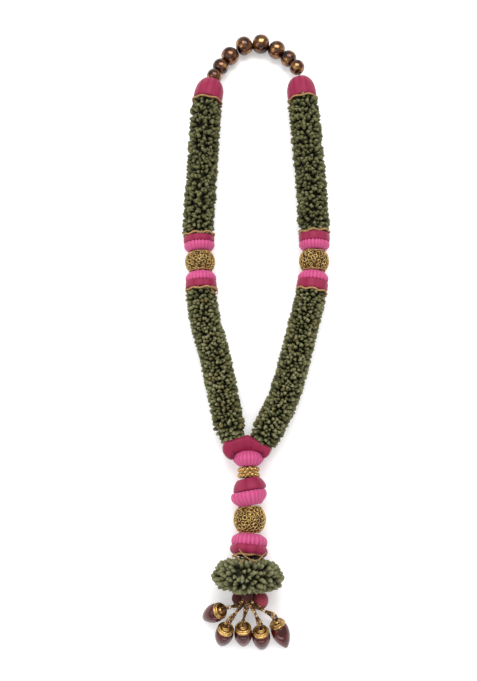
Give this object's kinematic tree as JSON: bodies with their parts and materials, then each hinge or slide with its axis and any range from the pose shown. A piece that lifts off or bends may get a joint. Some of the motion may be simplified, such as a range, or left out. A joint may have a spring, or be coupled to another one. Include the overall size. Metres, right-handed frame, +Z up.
{
  "type": "cardamom garland",
  "caption": "Cardamom pod garland with gold-brown neck beads, pink and magenta satin joints, filigree ball and a tassel of glass drops.",
  "frame": {"origin": "middle of the garland's footprint, on the table it lies on", "axes": "+Y from the tassel to the neck, +Z up off the table"},
  "size_m": [0.224, 0.9474, 0.0695],
  "materials": {
    "cardamom_pods": "dried green seed pods",
    "antique_gold_beads": "glossy antique gold",
    "maroon_thread": "waxed thread",
    "core_rope": "padded cotton rope",
    "magenta_satin": "brushed satin",
    "pink_satin": "gathered satin",
    "zari_cord": "twisted gold thread",
    "gold_filigree": "antique gold filigree",
    "maroon_felt": "wool felt",
    "seed_beads": "small antique gold beads",
    "gold_caps": "satin gold",
    "maroon_glass": "polished"
  },
  "bodies": {
    "root": {"neck_bead_1": "antique_gold_beads", "neck_bead_2": "antique_gold_beads", "neck_bead_3": "antique_gold_beads", "neck_bead_4": "antique_gold_beads", "neck_bead_5": "antique_gold_beads", "neck_bead_6": "antique_gold_beads", "neck_bead_7": "antique_gold_beads", "neck_bead_8": "antique_gold_beads", "main_cord": "maroon_thread", "left_core_rope": "core_rope", "left_top_cap": "magenta_satin", "left_cap_zari_cord": "zari_cord", "left_upper_zari_cord": "zari_cord", "left_lower_zari_cord": "zari_cord", "left_upper_cardamom_tube": "cardamom_pods", "left_upper_magenta_band": "magenta_satin", "left_upper_pink_puff": "pink_satin", "left_lower_cardamom_tube": "cardamom_pods", "left_lower_magenta_band": "magenta_satin", "left_lower_pink_puff": "pink_satin", "left_filigree_barrel": "gold_filigree", "right_core_rope": "core_rope", "right_top_cap": "magenta_satin", "right_cap_zari_cord": "zari_cord", "right_upper_zari_cord": "zari_cord", "right_lower_zari_cord": "zari_cord", "right_upper_cardamom_tube": "cardamom_pods", "right_upper_magenta_band": "magenta_satin", "right_upper_pink_puff": "pink_satin", "right_lower_cardamom_tube": "cardamom_pods", "right_lower_magenta_band": "magenta_satin", "right_lower_pink_puff": "pink_satin", "right_filigree_barrel": "gold_filigree", "magenta_collar": "magenta_satin", "pendant_pink_puff": "pink_satin", "small_gold_barrel": "gold_filigree", "upper_magenta_pad": "magenta_satin", "upper_pink_pad": "pink_satin", "filigree_ball": "gold_filigree", "lower_pink_pad": "pink_satin", "lower_magenta_pad": "magenta_satin", "ruffle_zari_cord": "zari_cord", "cardamom_ruffle": "cardamom_pods", "felt_ball_left": "maroon_felt", "felt_ball_right": "maroon_felt", "tassel_strand_1": "seed_beads", "drop_cap_1": "gold_caps", "glass_drop_1": "maroon_glass", "tassel_strand_2": "seed_beads", "drop_cap_2": "gold_caps", "glass_drop_2": "maroon_glass", "tassel_strand_3": "seed_beads", "drop_cap_3": "gold_caps", "glass_drop_3": "maroon_glass", "tassel_strand_4": "seed_beads", "drop_cap_4": "gold_caps", "glass_drop_4": "maroon_glass", "tassel_strand_5": "seed_beads", "drop_cap_5": "gold_caps", "glass_drop_5": "maroon_glass"}
  },
  "joints": []
}
